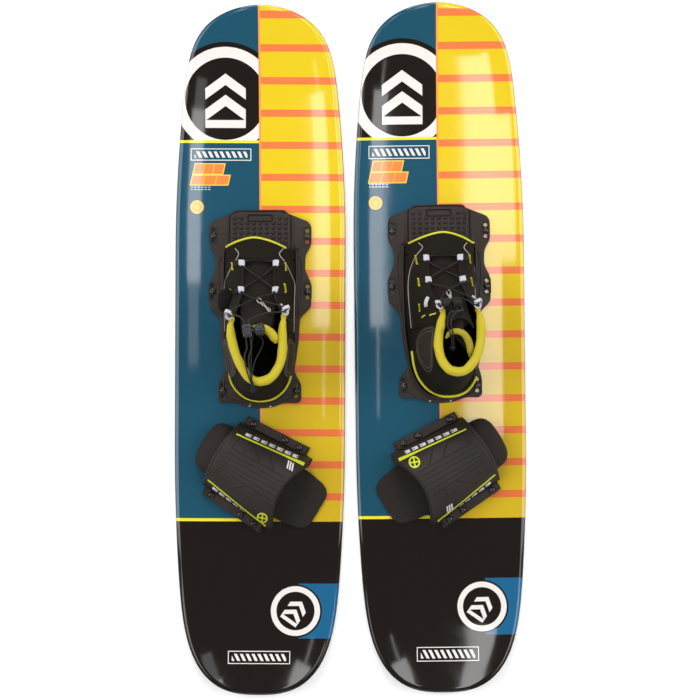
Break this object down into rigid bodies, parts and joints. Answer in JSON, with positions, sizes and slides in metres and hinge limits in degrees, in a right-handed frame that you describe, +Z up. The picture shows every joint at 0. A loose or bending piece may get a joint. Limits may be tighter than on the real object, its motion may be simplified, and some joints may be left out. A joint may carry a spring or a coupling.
{
  "type": "water ski pair",
  "caption": "Pair of short, wide trick water skis with rockered ends, lace-up front boots on bolted plates and angled rear toe straps.",
  "frame": {"origin": "on the ground under the middle of the pair, half way between the outermost points in X and Y", "axes": "+Y towards the ski tips, +X towards the right ski, +Z up"},
  "size_m": [0.5418, 1.0589, 0.1914],
  "materials": {
    "core": "black running base and edge over a foam core",
    "top_sheet": "glossy printed top sheet",
    "plate": "moulded nylon, fine matt grain",
    "foam": "textured EVA foam",
    "boot_fabric": "laminated boot fabric, stitched",
    "neoprene": "matt neoprene",
    "collar": "yellow padded stretch fabric",
    "lace": "braided cord",
    "strap_rubber": "moulded rubber with ribs",
    "toggle": "satin moulded plastic",
    "screw": "stainless steel"
  },
  "bodies": {
    "left_ski": {"left_ski_core": "core", "left_top_sheet": "top_sheet", "left_binding_plate": "plate", "left_footbed": "foam", "left_toe_overlay": "boot_fabric", "left_inner_quarter": "boot_fabric", "left_outer_quarter": "boot_fabric", "left_heel_counter": "boot_fabric", "left_ankle_collar": "collar", "left_lace": "lace", "left_strap_overlay": "strap_rubber", "left_strap_liner": "neoprene", "left_rear_foot_pad": "foam", "left_strap_plate_front": "plate", "left_strap_plate_rear": "plate", "left_plate_screw_front_outer": "screw", "left_plate_screw_front_inner": "screw", "left_plate_screw_mid_outer": "screw", "left_plate_screw_mid_inner": "screw", "left_plate_screw_heel_outer": "screw", "left_plate_screw_heel_inner": "screw", "left_strap_screw_front_1": "screw", "left_strap_screw_front_2": "screw", "left_strap_screw_front_3": "screw", "left_strap_screw_rear_1": "screw", "left_strap_screw_rear_2": "screw", "left_strap_screw_rear_3": "screw"},
    "left_tongue": {"left_tongue": "boot_fabric"},
    "left_cord_lock": {"left_cord_lock": "toggle"},
    "left_lock_button": {"left_lock_button": "toggle"},
    "right_ski": {"right_ski_core": "core", "right_top_sheet": "top_sheet", "right_binding_plate": "plate", "right_footbed": "foam", "right_toe_overlay": "boot_fabric", "right_inner_quarter": "boot_fabric", "right_outer_quarter": "boot_fabric", "right_heel_counter": "boot_fabric", "right_ankle_collar": "collar", "right_lace": "lace", "right_strap_overlay": "strap_rubber", "right_strap_liner": "neoprene", "right_rear_foot_pad": "foam", "right_strap_plate_front": "plate", "right_strap_plate_rear": "plate", "right_plate_screw_front_outer": "screw", "right_plate_screw_front_inner": "screw", "right_plate_screw_mid_outer": "screw", "right_plate_screw_mid_inner": "screw", "right_plate_screw_heel_outer": "screw", "right_plate_screw_heel_inner": "screw", "right_strap_screw_front_1": "screw", "right_strap_screw_front_2": "screw", "right_strap_screw_front_3": "screw", "right_strap_screw_rear_1": "screw", "right_strap_screw_rear_2": "screw", "right_strap_screw_rear_3": "screw"},
    "right_tongue": {"right_tongue": "boot_fabric"},
    "right_cord_lock": {"right_cord_lock": "toggle"},
    "right_lock_button": {"right_lock_button": "toggle"}
  },
  "joints": [
    {"name": "ski_gap", "type": "slide", "parent": "left_ski", "child": "right_ski", "axis": [1, 0, 0], "range_m": [-0.008, 0.3]},
    {"name": "left_tongue_lean", "type": "hinge", "parent": "left_ski", "child": "left_tongue", "pos_m": [-0.13854, 0.14313, 0.0655], "axis": [1, 0.0028, -0.0027], "range_deg": [0, 12]},
    {"name": "left_cord_lock_slide", "type": "slide", "parent": "left_ski", "child": "left_cord_lock", "axis": [0.0957, -0.9954, 0], "range_m": [0, 0.012]},
    {"name": "left_lock_button_press", "type": "slide", "parent": "left_cord_lock", "child": "left_lock_button", "axis": [-0.9954, -0.0957, 0], "range_m": [0, 0.0035], "stiffness_N_per_m": 800, "springref_m": -0.002},
    {"name": "right_tongue_lean", "type": "hinge", "parent": "right_ski", "child": "right_tongue", "pos_m": [0.13872, 0.15135, 0.0655], "axis": [0.9865, 0.118, -0.1138], "range_deg": [0, 10]},
    {"name": "right_cord_lock_slide", "type": "slide", "parent": "right_ski", "child": "right_cord_lock", "axis": [0.2546, -0.4613, 0.8499], "range_m": [0, 0.008]},
    {"name": "right_lock_button_press", "type": "slide", "parent": "right_cord_lock", "child": "right_lock_button", "axis": [0.9656, 0.1699, -0.1971], "range_m": [0, 0.0035], "stiffness_N_per_m": 800, "springref_m": -0.002}
  ]
}
